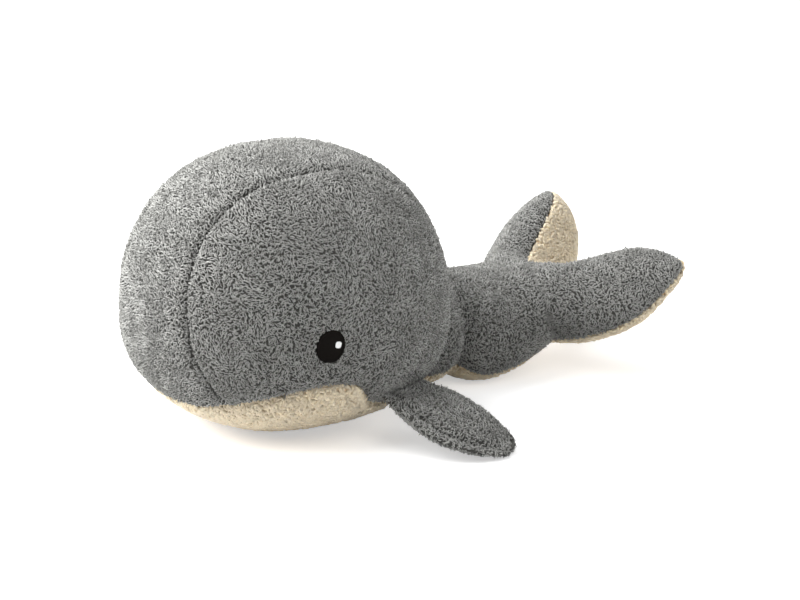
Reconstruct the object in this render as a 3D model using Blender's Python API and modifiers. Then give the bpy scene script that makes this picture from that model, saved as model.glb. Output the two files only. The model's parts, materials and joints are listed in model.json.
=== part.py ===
"""A stuffed plush whale, sewn from terry and curly pile panels over loose fibre filling.

Units are metres, +Z is up, the nose points to -Y and the left flipper to +X.
The belly lies flat on Z = 0, and X = Y = 0 is the middle of the whole toy's plan.
"""

from math import atan2, cos, pi, radians, sin

import bmesh
import bpy
from mathutils import Matrix, Vector

# Cloth, seams and fits
cloth = 0.0022
fit = 0.0003
seam_gap = 0.0008
seam_valley = 0.0022
seam_band = 0.0100
weld_reach = 0.00002
overrun = 0.0400

# Body with the head in one, measured from its widest point
body_half_width = 0.1360
body_front_reach = 0.1450
body_back_reach = 0.1430
body_rise = 0.1520
body_drop = 0.0940
body_fullness = 2.3
rest_flat_depth = 0.0005

# Seams on the body, as shares of its reaches
gusset_half_width = 0.0620
gusset_turns = (-90, -35, 45, 95, 150, 180, 215, 270)
gusset_width_shares = (1.00, 1.30, 0.80, 0.90, 1.08, 0.70, 0.45, 1.00)
belly_seam_share = 0.50
belly_seam_crest_share = 0.31
belly_seam_fall_share = 0.39
belly_seam_rear_fall_share = 0.30
belly_seam_crest_place_share = -0.14
belly_seam_reach_share = 0.86

# Eye, embroidered flat on the side panel, placed from the body's widest point
eye_width = 0.0250
eye_height = 0.0295
eye_forward = 0.0340
eye_up = 0.0110
eye_lean = radians(12)
eye_thread = 0.0010
highlight_width = 0.0058
highlight_back = 0.0062
highlight_up = 0.0006
highlight_thread = 0.0005

# Tail stalk, a ball end in the body and a stuffed tube behind it
tail_ball_radius = 0.0560
tail_ball_sink = 0.0090
tail_ball_room = 0.0020
tail_clear_angle = radians(59)
tail_seam_column = 2

# Tail stalk behind the ball: distance back from the ball, height of the middle, half width, half height
stalk_waist = (0.0530, 0.0510, 0.0570, 0.0480)
stalk_middle = (0.0800, 0.0500, 0.0600, 0.0465)
stalk_rear = (0.1120, 0.0550, 0.0605, 0.0400)
stalk_root = (0.1370, 0.0625, 0.0560, 0.0295)
stalk_end = (0.1530, 0.0700, 0.0310, 0.0180)
stalk_fullness = 3.2

# Flukes, on a plane that rises to the rear, one root line to each side of the notch
notch_back = 0.1710
notch_height = 0.0750
fluke_pitch = radians(25)
fluke_splay_left = radians(46)
fluke_splay_right = radians(40)
fluke_length = 0.1290
fluke_root_start = 0.0195
fluke_root_width = 0.0600
fluke_root_radius = 0.0205
fluke_swells = (0.0160, 0.0180)
fluke_tip_shift = 0.0330
fluke_fatten_share = 0.46
fluke_filling_share = 0.97
fluke_hang = radians(0)
fluke_lift_left = radians(-5)
fluke_lift_right = radians(0)
fluke_roll_left = radians(14)
fluke_roll_right = radians(40)
fluke_lip = 0.0105
fluke_side_room = 0.0058

# Flippers, caught in the seam between side panel and belly
flipper_back = 0.0560
flipper_up = 0.0440
flipper_length = 0.1060
flipper_root_width = 0.0540
flipper_root_radius = 0.0040
flipper_mouth_radius = 0.0090
flipper_swells = (0.0135, 0.0095)
flipper_tip_shift = 0.0200
flipper_fatten_share = 2.1
flipper_filling_share = 0.92
flipper_drop = radians(22)

# Outline of a limb, as powers of the run from root to tip
swell_bow = 1.3
width_close = 3.6
width_round = 0.56
fatten_bow = 0.85
height_close = 2.8
height_round = 0.5
sweep_bow = 1.5
root_square = 5.0
tip_square = 2.2
square_reach_share = 0.4

# Facets
ball_cells = 10
stalk_sides = 20
ball_rings = 5
stalk_steps = 2
socket_sides = 28
groove_sides = 24
limb_columns = 8
limb_rows = 7
row_bow = 1.15
bead_rows = 3
eye_sides = 18
eye_rings = 2

# Colours of the cloths and threads
grey_terry = (0.165, 0.165, 0.155, 1.0)
cream_pile = (0.720, 0.600, 0.430, 1.0)
white_fibre = (0.850, 0.850, 0.840, 1.0)
black_thread = (0.010, 0.008, 0.007, 1.0)
white_thread = (0.850, 0.850, 0.850, 1.0)


def clear_scene():
    for thing in list(bpy.data.objects):
        bpy.data.objects.remove(thing, do_unlink=True)


def new_collection(name):
    group = bpy.data.collections.new(name)
    bpy.context.scene.collection.children.link(group)
    return group


def cloth_material(name, colour, roughness):
    material = bpy.data.materials.new(name)
    material.use_nodes = True
    shader = material.node_tree.nodes["Principled BSDF"]
    shader.inputs["Base Color"].default_value = colour
    shader.inputs["Roughness"].default_value = roughness
    shader.inputs["Metallic"].default_value = 0.0
    material.diffuse_color = colour
    return material


def face_out(bm, middle):
    """Turns an open or closed surface's faces away from a point behind them."""
    bmesh.ops.recalc_face_normals(bm, faces=bm.faces)
    outward = sum(f.normal.dot(f.calc_center_median() - middle) * f.calc_area() for f in bm.faces)
    if outward < 0.0:
        bmesh.ops.reverse_faces(bm, faces=bm.faces)


def new_mesh(bm, name):
    mesh = bpy.data.meshes.new(name)
    bm.to_mesh(mesh)
    bm.free()
    return mesh


def new_piece(bm, name, group, colour, middle, roughness=0.95):
    face_out(bm, middle)
    mesh = new_mesh(bm, name)
    mesh.shade_smooth()
    mesh.materials.append(cloth_material(name, colour, roughness))
    piece = bpy.data.objects.new(name, mesh)
    group.objects.link(piece)
    return piece


def new_cutter(bm, name, cutters):
    bmesh.ops.recalc_face_normals(bm, faces=bm.faces)
    cutter = bpy.data.objects.new(name, new_mesh(bm, name))
    cutter.hide_render = True
    cutter.display_type = "WIRE"
    cutters.objects.link(cutter)
    return cutter


def attach(thing, carrier, frame):
    """Parents a thing to its carrier, with its frame given from the whole toy's origin."""
    thing.parent = carrier
    start = Matrix()
    if carrier and "at" in carrier:
        start = Matrix.Translation(-Vector(carrier["at"]))
    thing.matrix_basis = start @ frame


def add_thickness(piece, thickness, outward=False):
    wall = piece.modifiers.new("cloth", "SOLIDIFY")
    wall.thickness = thickness
    wall.offset = 1.0 if outward else -1.0


def cut(piece, *cutters):
    for cutter in cutters:
        opening = piece.modifiers.new(cutter.name, "BOOLEAN")
        opening.operation = "DIFFERENCE"
        opening.solver = "EXACT"
        opening.object = cutter
    if cutters:
        weld = piece.modifiers.new("weld", "WELD")
        weld.merge_threshold = weld_reach


def shrink(bm, distance):
    """Moves every point inwards along its normal."""
    bm.normal_update()
    moves = [(v, v.normal * distance) for v in bm.verts]
    for v, move in moves:
        v.co -= move


def trim_edges(bm, distance):
    """Takes a strip of the given width off an open surface's edge."""
    rim = bmesh.ops.inset_region(bm, faces=bm.faces, thickness=distance, use_boundary=True, use_even_offset=True)
    bmesh.ops.delete(bm, geom=rim["faces"], context="FACES")


# Body

tail_ball_back = body_back_reach - tail_ball_sink
tail_ball_height = tail_ball_radius + tail_ball_room
gusset_share = gusset_half_width / body_half_width
band_share = seam_band / body_half_width


def belly_seam_level(back):
    """Height of the belly seam on the unit ball, an arch with its crest a little behind the eye."""
    run = (back - belly_seam_crest_place_share) / belly_seam_reach_share
    fall = belly_seam_fall_share if run < 0.0 else belly_seam_rear_fall_share
    return -belly_seam_crest_share - fall * run * run


def lean_to_seam(u):
    """Slides a point of the unit ball up or down so that the flat cut becomes the arched belly seam."""
    near = max(0.0, 1.0 - ((u.z + belly_seam_share) / belly_seam_share) ** 2) ** 2
    if near == 0.0 or abs(u.z) > 0.999:
        return u
    height = u.z + near * (belly_seam_level(u.y) + belly_seam_share)
    spread = ((1.0 - height * height) / (1.0 - u.z * u.z)) ** 0.5
    return Vector((u.x * spread, u.y * spread, height))


def lean_to_gusset(u):
    """Slides a point of the unit ball sideways so that the gusset narrows over the brow and widens at its ends."""
    place_on = atan2(u.z, -u.y)
    places = [radians(turn) for turn in gusset_turns]
    if place_on < places[0]:
        place_on += 2 * pi
    share = 1.0
    for k in range(len(places) - 1):
        low, high = places[k], places[k + 1]
        if low <= place_on <= high:
            step = (1.0 - cos(pi * (place_on - low) / (high - low))) / 2
            share = gusset_width_shares[k] * (1.0 - step) + gusset_width_shares[k + 1] * step
    across = abs(u.x)
    if across > 0.999:
        return u
    if across < gusset_share:
        moved = across * share
    else:
        moved = 1.0 - (1.0 - across) * (1.0 - gusset_share * share) / (1.0 - gusset_share)
    spread = ((1.0 - moved * moved) / (1.0 - across * across)) ** 0.5
    return Vector((moved if u.x > 0.0 else -moved, u.y * spread, u.z * spread))


def body_point(u):
    """A point of the unit ball carried to the body's skin."""
    size = sum(abs(c) ** body_fullness for c in u) ** (1.0 / body_fullness)
    u = u / size
    reach = body_front_reach if u.y < 0.0 else body_back_reach
    rise = body_rise if u.z > 0.0 else body_drop
    return Vector((body_half_width * u.x, reach * u.y, body_drop + rise * u.z))


def side_of_body(back, up):
    """Half width of the body at a place measured back and up from its widest point."""
    reach = body_front_reach if back < 0.0 else body_back_reach
    rise = body_rise if up > 0.0 else body_drop
    left = 1.0 - abs(back / reach) ** body_fullness - abs(up / rise) ** body_fullness
    return body_half_width * left ** (1.0 / body_fullness)


def seam_depth(u):
    """Share of the valley's full depth at a point of the unit ball before it leans to the seam."""
    to_gusset = abs(abs(u.x) - gusset_share) / band_share
    to_belly = abs(u.z + belly_seam_share) / band_share
    if u.z < -belly_seam_share:
        to_gusset = 1.0
    return max(0.0, 1.0 - min(to_gusset, to_belly))


def body_ball():
    """The unit ball as six square patches, with lines cut along the seams and beside them."""
    bm = bmesh.new()
    bmesh.ops.create_cube(bm, size=2.0)
    bmesh.ops.subdivide_edges(bm, edges=bm.edges, cuts=ball_cells - 1, use_grid_fill=True)
    for v in bm.verts:
        v.co.normalize()
    lines = [(Vector((1, 0, 0)), side * gusset_share) for side in (-1, 1)]
    lines.append((Vector((0, 0, 1)), -belly_seam_share))
    for across, place_on in lines:
        for step in (-band_share, 0.0, band_share):
            everything = bm.verts[:] + bm.edges[:] + bm.faces[:]
            at = across * (place_on + step)
            bmesh.ops.bisect_plane(bm, geom=everything, plane_co=at, plane_no=across)
    bmesh.ops.remove_doubles(bm, verts=bm.verts, dist=band_share / 3)
    for v in bm.verts:
        v.co.normalize()
    return bm


def panel_of(face):
    middle = face.calc_center_median()
    if middle.z < -belly_seam_share:
        return "belly"
    if abs(middle.x) < gusset_share:
        return "gusset"
    return "left" if middle.x > 0.0 else "right"


def body_surface(panel=None, depth=0.0):
    """The skin's outer face, whole or one panel of it, moved in by a depth."""
    bm = body_ball()
    kept = bm.faces.layers.int.new("kept")
    for f in bm.faces:
        f[kept] = 0 if panel and panel_of(f) != panel else 1
    for v in bm.verts:
        valley = seam_depth(v.co)
        inward = v.co.normalized()
        v.co = body_point(lean_to_gusset(lean_to_seam(inward)))
        v.co -= (v.co - Vector((0, 0, body_drop))).normalized() * seam_valley * valley
    if depth:
        shrink(bm, depth)
    flat = rest_flat_depth + depth
    everything = bm.verts[:] + bm.edges[:] + bm.faces[:]
    bmesh.ops.bisect_plane(bm, geom=everything, plane_co=(0, 0, flat), plane_no=(0, 0, 1), dist=fit / 2)
    for v in bm.verts:
        v.co.z = max(v.co.z, flat) - rest_flat_depth
    bmesh.ops.delete(bm, geom=[f for f in bm.faces if not f[kept]], context="FACES")
    if panel:
        trim_edges(bm, seam_gap / 2)
    return bm


# Limbs: flukes and flippers are leaves that turn about a rounded root

def limb_half_width(run, root_width, swell):
    full = root_width / 2 + swell * sin(pi * run**swell_bow)
    return full * (1.0 - run**width_close) ** width_round


def limb_half_height(run, root_radius, fatten):
    full = root_radius * (1.0 + fatten * sin(pi * run**fatten_bow))
    return full * (1.0 - run**height_close) ** height_round


def limb_section(across, run):
    """Share of the full height at a place across the leaf, squarer at the root than at the tip."""
    square = root_square + (tip_square - root_square) * min(1.0, run / square_reach_share)
    return max(0.0, 1.0 - abs(across) ** square) ** 0.5


def limb_surface(length, root_width, root_radius, swells, tip_shift, fatten, reach_share=1.0):
    """The upper skin of a leaf: out along +X from its hinge line on Y, rounded back round the line.

    The swells are those of its leading and its trailing edge. The tip shifts to the trailing side.
    """
    bm = bmesh.new()
    rows = [(0.0, pi - i * (pi / 2) / bead_rows) for i in range(bead_rows)]
    rows += [(sin(i * (pi / 2) / limb_rows) ** row_bow, pi / 2) for i in range(limb_rows + 1)]
    grid = []
    for run, turn in rows:
        tip = run > 0.999
        half_height = 0.0 if tip else limb_half_height(run, root_radius, fatten)
        if reach_share < 1.0 and not tip and run > 0.5 and half_height < 2 * cloth:
            continue
        line = []
        for j in range(limb_columns + 1):
            across = sin((j / limb_columns - 0.5) * pi)
            height = half_height * limb_section(across, run)
            out = run * length * (reach_share if tip else 1.0) + height * cos(turn)
            swell = swells[1] if across * tip_shift > 0.0 else swells[0]
            half_width = 0.0 if tip else limb_half_width(run, root_width, swell)
            aside = tip_shift * run**sweep_bow + across * half_width
            line.append(bm.verts.new((out, aside, height * sin(turn))))
        grid.append(line)
    for low, high in zip(grid, grid[1:]):
        for j in range(limb_columns):
            bm.faces.new((low[j], high[j], high[j + 1], low[j + 1]))
    bmesh.ops.remove_doubles(bm, verts=bm.verts, dist=fit)
    return bm


def limb_frame(hinge_at, outward, along, lift):
    """Carries a leaf from its own axes to its place, turned up about its hinge line by lift."""
    outward = outward.normalized()
    along = (along - outward * along.dot(outward)).normalized()
    normal = outward.cross(along)
    axes = Matrix((outward, along, normal)).transposed().to_4x4()
    return Matrix.Translation(hinge_at) @ axes @ Matrix.Rotation(-lift, 4, "Y")


def trimming_box(name, cutters, side, size):
    """A box that ends just short of the leaf's middle plane, on the side away from the skin it trims."""
    bm = bmesh.new()
    bmesh.ops.create_cube(bm, size=1.0)
    bmesh.ops.scale(bm, vec=(size, size, size), verts=bm.verts)
    bmesh.ops.translate(bm, vec=(0, 0, side * (seam_gap / 2 - size / 2)), verts=bm.verts)
    return new_cutter(bm, name, cutters)


def make_limb(name, group, cutters, sizes, filling_share, carrier, frame, cloths):
    """One limb: its upper cloth, its lower cloth and its filling."""
    middle = Vector((sizes["length"] / 2, 0, 0))
    for part_name, side, colour in cloths:
        bm = limb_surface(**sizes)
        bmesh.ops.scale(bm, vec=(1, 1, side), verts=bm.verts)
        piece = new_piece(bm, part_name, group, colour, middle)
        add_thickness(piece, cloth)
        trimmer = trimming_box(part_name + "_trim", cutters, side, 2 * sizes["length"] + overrun)
        cut(piece, trimmer)
        attach(piece, carrier, frame)
        attach(trimmer, carrier, frame)
    bm = limb_surface(**sizes, reach_share=filling_share)
    twin = bmesh.ops.duplicate(bm, geom=bm.verts[:] + bm.edges[:] + bm.faces[:])["geom"]
    lower = [g for g in twin if isinstance(g, bmesh.types.BMVert)]
    bmesh.ops.scale(bm, vec=(1, 1, -1), verts=lower)
    bmesh.ops.remove_doubles(bm, verts=bm.verts, dist=fit)
    bmesh.ops.recalc_face_normals(bm, faces=bm.faces)
    shrink(bm, cloth + 3 * fit)
    core = new_piece(bm, name + "_filling", group, white_fibre, middle)
    attach(core, carrier, frame)


def groove(name, cutters, radius, width, out, carrier, frame):
    """A round bar along a leaf's hinge line, moved out from it, that cuts the leaf's seat."""
    bm = bmesh.new()
    bmesh.ops.create_cone(
        bm, cap_ends=True, segments=groove_sides, radius1=radius, radius2=radius, depth=width
    )
    bmesh.ops.rotate(bm, cent=(0, 0, 0), matrix=Matrix.Rotation(pi / 2, 3, "X"), verts=bm.verts)
    bmesh.ops.translate(bm, vec=(out, 0, 0), verts=bm.verts)
    bar = new_cutter(bm, name, cutters)
    attach(bar, carrier, frame)
    return bar


# Flippers

def flipper_hinge(side):
    """Middle, outward direction and line of a flipper's root, on the body's skin."""
    half = flipper_root_width / 2
    up = flipper_up - body_drop
    here = side_of_body(flipper_back, up)
    front = side_of_body(flipper_back - half, up)
    rear = side_of_body(flipper_back + half, up)
    at = Vector((side * here, flipper_back, flipper_up))
    along = Vector((side * (rear - front), 2 * half, 0)).normalized()
    outward = Vector((side * along.y, -side * along.x, 0))
    return at, outward, along


def flipper_frame(side, drop, lift=0.0):
    at, outward, along = flipper_hinge(side)
    outward = outward * cos(drop) - Vector((0, 0, sin(drop)))
    return limb_frame(at, outward, along * side, lift)


def make_flipper(side, word, group, cutters, carrier):
    sizes = dict(
        length=flipper_length,
        root_width=flipper_root_width,
        root_radius=flipper_root_radius,
        swells=flipper_swells,
        tip_shift=side * flipper_tip_shift,
        fatten=flipper_fatten_share,
    )
    cloths = (
        ("flipper_upper_" + word, 1, grey_terry),
        ("flipper_lower_" + word, -1, grey_terry),
    )
    hung = flipper_frame(side, flipper_drop)
    make_limb("flipper_" + word, group, cutters, sizes, flipper_filling_share, carrier, hung, cloths)
    width = flipper_root_width + 2 * (max(flipper_swells) + seam_gap)
    out = flipper_mouth_radius - flipper_root_radius - fit
    name = "flipper_seat_" + word
    return groove(name, cutters, flipper_mouth_radius, width, out, carrier, flipper_frame(side, 0.0))


# Flukes

def fluke_hinge(side):
    """Middle, outward direction and line of a fluke's root, on the plane that rises to the rear."""
    splay = fluke_splay_left if side > 0 else fluke_splay_right
    rearward = Vector((0, cos(fluke_pitch), sin(fluke_pitch)))
    across = Vector((side, 0, 0))
    line = across * cos(splay) - rearward * sin(splay)
    outward = across * sin(splay) + rearward * cos(splay)
    notch = Vector((0, tail_ball_back + notch_back, notch_height))
    at = notch + line * (fluke_root_start + fluke_root_width / 2)
    upward = Vector((0, -sin(fluke_pitch), cos(fluke_pitch)))
    roll = fluke_roll_left if side > 0 else fluke_roll_right
    return at, outward, line * cos(roll) - upward * sin(roll)


def make_fluke(side, word, lift, group, cutters, carrier):
    at, outward, line = fluke_hinge(side)
    frame = limb_frame(at, outward, line * -side, fluke_hang + lift)
    sizes = dict(
        length=fluke_length,
        root_width=fluke_root_width,
        root_radius=fluke_root_radius,
        swells=fluke_swells,
        tip_shift=side * fluke_tip_shift,
        fatten=fluke_fatten_share,
    )
    cloths = (
        ("fluke_top_" + word, 1, grey_terry),
        ("fluke_underside_" + word, -1, cream_pile),
    )
    make_limb("fluke_" + word, group, cutters, sizes, fluke_filling_share, carrier, frame, cloths)
    still = limb_frame(at, outward, line * -side, fluke_hang)
    radius = (fluke_root_radius + fit) / cos(pi / groove_sides)
    width = fluke_root_width + 2 * fluke_side_room
    bar = groove("fluke_seat_" + word, cutters, radius, width, 0.0, carrier, still)
    bm = bmesh.new()
    bmesh.ops.create_cube(bm, size=1.0)
    high = 2 * tail_ball_radius + overrun
    wide = width + overrun
    bmesh.ops.scale(bm, vec=(high, wide, high), verts=bm.verts)
    shift = Vector((high / 2 - fluke_lip, -side * overrun / 2, 0))
    bmesh.ops.translate(bm, vec=shift, verts=bm.verts)
    lip = new_cutter(bm, "fluke_lip_" + word, cutters)
    attach(lip, carrier, still)
    return bar, lip


# Tail stalk

def between(a, b, c, d, share):
    """A smooth step from b to c, guided by the values before and after."""
    bend = 2 * b + (c - a) * share
    bend += (2 * a - 5 * b + 4 * c - d) * share**2
    bend += (3 * b - a - 3 * c + d) * share**3
    return bend / 2


def stalk_rings():
    """Each ring's distance back from the ball, height of its middle, half width and half height."""
    rings = []
    for i in range(1, ball_rings + 1):
        turn = i * (pi - tail_clear_angle) / ball_rings
        radius = tail_ball_radius * sin(turn)
        rings.append((-tail_ball_radius * cos(turn), tail_ball_height, radius, radius))
    stations = rings[-1:] + [stalk_waist, stalk_middle, stalk_rear, stalk_root, stalk_end]
    last = len(stations) - 1
    for i in range(last):
        four = [stations[min(max(k, 0), last)] for k in (i - 1, i, i + 1, i + 2)]
        for step in range(1, stalk_steps + 1):
            share = step / stalk_steps
            rings.append(tuple(between(*values, share) for values in zip(*four)))
    return rings


def rounded(share, square):
    """A sine or cosine drawn out so that a circle becomes a squarer oval."""
    return abs(share) ** (2.0 / square) * (1.0 if share > 0.0 else -1.0)


def tail_surface(columns, ends_front=False, ends_rear=True, depth=0.0):
    """The stalk's skin over some of its columns, counted round from the middle of its underside."""
    bm = bmesh.new()
    rings = stalk_rings()
    front = bm.verts.new((0, -tail_ball_radius, tail_ball_height))
    rear = bm.verts.new((0, rings[-1][0] + rings[-1][3] / 2, rings[-1][1]))
    grid = []
    ball_end = tail_ball_radius * cos(tail_clear_angle)
    for back, height, half_width, half_height in rings:
        past = min(1.0, max(0.0, (back - ball_end) / (stalk_waist[0] - ball_end)))
        square = 2.0 + (stalk_fullness - 2.0) * past
        line = []
        for j in range(stalk_sides):
            turn = 2 * pi * j / stalk_sides
            on_seam = j in (tail_seam_column, stalk_sides - tail_seam_column)
            valley = seam_valley if on_seam and back > 0.0 else 0.0
            x = (half_width - valley) * rounded(sin(turn), square)
            z = height - (half_height - valley) * rounded(cos(turn), square)
            line.append(bm.verts.new((x, back, z)))
        grid.append(line)
    for j in range(stalk_sides):
        k = (j + 1) % stalk_sides
        if ends_rear:
            bm.faces.new((rear, grid[-1][j], grid[-1][k]))
        if ends_front:
            bm.faces.new((front, grid[0][k], grid[0][j]))
        if j in columns:
            for low, high in zip(grid, grid[1:]):
                bm.faces.new((low[j], low[k], high[k], high[j]))
    bmesh.ops.delete(bm, geom=[v for v in bm.verts if not v.link_faces], context="VERTS")
    bmesh.ops.recalc_face_normals(bm, faces=bm.faces)
    if depth:
        shrink(bm, depth)
    bmesh.ops.translate(bm, vec=(0, tail_ball_back, 0), verts=bm.verts)
    return bm


def make_tail(group, carrier, seats):
    middle = Vector((0, tail_ball_back + stalk_middle[0], stalk_middle[1]))
    upper = range(tail_seam_column, stalk_sides - tail_seam_column)
    lower = [j for j in range(stalk_sides) if j not in upper]
    skins = (
        ("tail_top_panel", upper, True, grey_terry),
        ("tail_belly_strip", lower, False, cream_pile),
    )
    for name, columns, ends_rear, colour in skins:
        bm = tail_surface(columns, ends_rear=ends_rear)
        trim_edges(bm, seam_gap / 2)
        piece = new_piece(bm, name, group, colour, middle)
        add_thickness(piece, cloth)
        cut(piece, *seats)
        attach(piece, carrier, Matrix())
    bm = tail_surface(range(stalk_sides), ends_front=True, depth=cloth + 2 * fit)
    core = new_piece(bm, "tail_filling", group, white_fibre, middle)
    cut(core, *seats)
    attach(core, carrier, Matrix())


# Body

def tail_socket(cutters, carrier):
    """A ball a little larger than the tail's, so that its facets clear it."""
    bm = bmesh.new()
    radius = (tail_ball_radius + fit) / cos(pi / socket_sides) ** 2
    bmesh.ops.create_uvsphere(bm, u_segments=socket_sides, v_segments=socket_sides // 2, radius=radius)
    bmesh.ops.rotate(bm, cent=(0, 0, 0), matrix=Matrix.Rotation(pi / 2, 3, "Y"), verts=bm.verts)
    bmesh.ops.translate(bm, vec=(0, tail_ball_back, tail_ball_height), verts=bm.verts)
    socket = new_cutter(bm, "tail_socket", cutters)
    attach(socket, carrier, Matrix())
    return socket


def make_body(group, carrier, socket, flipper_seats):
    middle = Vector((0, 0, body_drop))
    left_seat, right_seat = flipper_seats
    panels = (
        ("forehead_gusset", "gusset", grey_terry, (socket,)),
        ("side_panel_left", "left", grey_terry, (socket, left_seat)),
        ("side_panel_right", "right", grey_terry, (socket, right_seat)),
        ("belly_panel", "belly", cream_pile, (socket, left_seat, right_seat)),
    )
    for name, which, colour, openings in panels:
        piece = new_piece(body_surface(which), name, group, colour, middle)
        add_thickness(piece, cloth)
        cut(piece, *openings)
        attach(piece, carrier, Matrix())
    core = new_piece(body_surface(depth=cloth + 3 * fit), "body_filling", group, white_fibre, middle)
    cut(core, socket, left_seat, right_seat)
    attach(core, carrier, Matrix())


# Eyes

def eye_patch(side, width, height, back, up, lift):
    """A round patch that follows the side panel, centred on the eye's middle plus back and up."""
    bm = bmesh.new()
    turned = Matrix.Rotation(-eye_lean, 2)
    rings = []
    for k in range(1, eye_rings + 1):
        ring = []
        for i in range(eye_sides):
            turn = 2 * pi * i / eye_sides
            share = k / eye_rings
            spot = Vector((width / 2 * cos(turn), height / 2 * sin(turn))) * share
            spot = turned @ spot + Vector((back - eye_forward, up + eye_up))
            x = side_of_body(spot.x, spot.y) + lift
            ring.append(bm.verts.new((side * x, spot.x, body_drop + spot.y)))
        rings.append(ring)
    hub_x = side_of_body(back - eye_forward, up + eye_up) + lift
    hub = bm.verts.new((side * hub_x, back - eye_forward, body_drop + up + eye_up))
    for i in range(eye_sides):
        k = (i + 1) % eye_sides
        bm.faces.new((hub, rings[0][i], rings[0][k]))
        for inner, outer in zip(rings, rings[1:]):
            bm.faces.new((inner[i], outer[i], outer[k], inner[k]))
    return bm


def make_eyes(group, carrier):
    middle = Vector((0, 0, body_drop))
    for side, word in ((1, "left"), (-1, "right")):
        patches = (
            ("eye_" + word, eye_width, eye_height, 0.0, 0.0, fit, eye_thread, black_thread),
            (
                "eye_highlight_" + word,
                highlight_width,
                highlight_width,
                highlight_back,
                highlight_up,
                2 * fit + eye_thread,
                highlight_thread,
                white_thread,
            ),
        )
        for name, width, height, back, up, lift, thread, colour in patches:
            bm = eye_patch(side, width, height, back, up, lift)
            piece = new_piece(bm, name, group, colour, middle, roughness=0.45)
            add_thickness(piece, thread, outward=True)
            attach(piece, carrier, Matrix())


def marker(name, group, carrier, at):
    """An empty that carries pieces, placed at a point of the toy."""
    empty = bpy.data.objects.new(name, None)
    empty.empty_display_size = overrun
    group.objects.link(empty)
    attach(empty, carrier, Matrix.Translation(at))
    empty["at"] = at
    return empty


def whole_box(group):
    """Lowest and highest corner of every piece as it is built."""
    graph = bpy.context.evaluated_depsgraph_get()
    corners = []
    for piece in group.objects:
        if piece.type == "MESH":
            built = piece.evaluated_get(graph)
            mesh = built.to_mesh()
            corners += [built.matrix_world @ v.co for v in mesh.vertices]
            built.to_mesh_clear()
    low = Vector(tuple(min(c[k] for c in corners) for k in range(3)))
    high = Vector(tuple(max(c[k] for c in corners) for k in range(3)))
    return low, high


def main():
    clear_scene()
    group = new_collection("plush_whale")
    cutters = new_collection("cutters")
    whale = marker("whale", group, None, Vector((0, 0, 0)))
    tail_at = Vector((0, tail_ball_back, tail_ball_height))
    tail = marker("tail_bend_axis", group, whale, tail_at)
    socket = tail_socket(cutters, whale)
    flipper_seats = []
    fluke_seats = []
    for side, word, lift in ((1, "left", fluke_lift_left), (-1, "right", fluke_lift_right)):
        flipper_seats.append(make_flipper(side, word, group, cutters, whale))
        fluke_seats += make_fluke(side, word, lift, group, cutters, tail)
    make_body(group, whale, socket, flipper_seats)
    make_tail(group, tail, fluke_seats)
    make_eyes(group, whale)
    low, high = whole_box(group)
    whale.location = (0, -(low.y + high.y) / 2, -low.z)
    bpy.context.view_layer.update()
    tell("size", high - low)
    tell("tail_bend at", whale.location + tail_at)
    for side, word in ((1, "left"), (-1, "right")):
        at, outward, along = flipper_hinge(side)
        tell("flipper_" + word + " at", whale.location + at)
        tell("flipper_" + word + " lifts about", along * -side)
        at, outward, line = fluke_hinge(side)
        tell("fluke_" + word + " at", whale.location + at)
        tell("fluke_" + word + " lifts about", line * side)
    tell("belly rests at", whale.location)


def tell(what, vector):
    print(what, *(round(value, 5) for value in vector))


main()
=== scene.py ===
"""Plush whale kit: stuffed forms, looped terry, curly sherpa and embroidered eyes over the whale's frame.

Units are metres, +Z is up, the nose points to -Y and the left flipper to +X.
"""

import json
from math import cos, pi, radians, sin

import bpy
import numpy as np
from bpy.props import FloatProperty, FloatVectorProperty, IntProperty, PointerProperty
from mathutils import Matrix, Vector, kdtree, noise
from mathutils.bvhtree import BVHTree


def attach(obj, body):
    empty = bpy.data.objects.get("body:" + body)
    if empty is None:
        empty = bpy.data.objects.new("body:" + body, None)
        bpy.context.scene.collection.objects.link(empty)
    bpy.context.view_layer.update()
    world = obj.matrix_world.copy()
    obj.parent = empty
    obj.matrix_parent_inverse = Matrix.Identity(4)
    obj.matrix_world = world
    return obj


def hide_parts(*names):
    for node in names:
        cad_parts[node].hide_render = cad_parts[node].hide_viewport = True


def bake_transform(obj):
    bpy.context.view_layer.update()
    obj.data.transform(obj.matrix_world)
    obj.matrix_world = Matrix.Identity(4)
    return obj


bl_info = {
    "name": "Plush Whale",
    "version": (1, 0, 0),
    "blender": (4, 5, 0),
    "location": "3D View > Sidebar > Whale",
    "description": "Sews, stuffs and finishes a plush whale over its jointed frame",
    "category": "Add Mesh",
}

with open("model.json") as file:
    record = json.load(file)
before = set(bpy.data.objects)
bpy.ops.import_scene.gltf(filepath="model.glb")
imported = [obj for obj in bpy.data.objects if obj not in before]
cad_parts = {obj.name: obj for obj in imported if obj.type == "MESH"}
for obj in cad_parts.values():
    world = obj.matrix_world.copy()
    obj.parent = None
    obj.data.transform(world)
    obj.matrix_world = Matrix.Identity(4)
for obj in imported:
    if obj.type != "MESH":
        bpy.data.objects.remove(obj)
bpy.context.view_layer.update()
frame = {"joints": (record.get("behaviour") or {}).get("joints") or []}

# Pattern of the whale, measured from the widest point of its body
TAIL_BALL_BACK = 0.1340
HINGES = {joint["name"]: joint for joint in frame["joints"]}
MIDDLE = Vector((0.0, HINGES["tail_bend"]["pos_m"][1] - TAIL_BALL_BACK, 0.0))
HALF_WIDTH, FRONT, BACK, RISE, DROP = 0.1360, 0.1450, 0.1430, 0.1520, 0.0940
ROUNDNESS = 2.3
GUSSET_SHARE = 0.0620 / HALF_WIDTH
GUSSET_TURNS = np.radians((-90, -35, 45, 95, 150, 180, 215, 270))
GUSSET_WIDTHS = np.array((1.00, 1.30, 0.80, 0.90, 1.08, 0.70, 0.45, 1.00))
BELLY_LEVEL = 0.50
BALL = (0.0560, 0.0580)
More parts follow.
